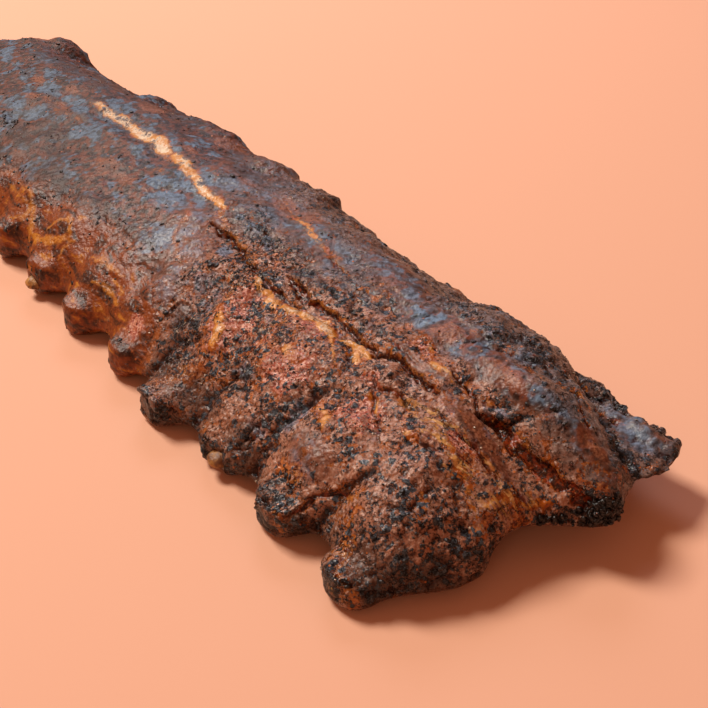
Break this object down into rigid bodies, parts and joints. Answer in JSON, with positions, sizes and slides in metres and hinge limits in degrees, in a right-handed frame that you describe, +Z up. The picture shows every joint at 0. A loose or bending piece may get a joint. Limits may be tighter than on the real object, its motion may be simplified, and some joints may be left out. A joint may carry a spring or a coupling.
{
  "type": "rack of ribs",
  "caption": "Rack of pork back ribs, smoked whole under a dark bark, lying meat side up as a long arch with its rib tips along one edge.",
  "frame": {"origin": "under the middle of the rack's box, on the surface that it lies on", "axes": "+X along the rack towards its ragged wide end, +Y across it from the rib tips to the loin side, +Z up through the meat side"},
  "size_m": [0.437, 0.1218, 0.0405],
  "materials": {
    "bark": "rough dark smoked bark with glossy fat and glaze",
    "bone": "dull browned rib bone and cartilage"
  },
  "bodies": {
    "root": {"meat": "bark", "bone_01": "bone", "bone_02": "bone", "bone_03": "bone", "bone_04": "bone", "bone_05": "bone", "bone_06": "bone", "bone_07": "bone", "bone_08": "bone", "bone_09": "bone", "bone_10": "bone", "bone_11": "bone", "bone_12": "bone"}
  },
  "joints": []
}
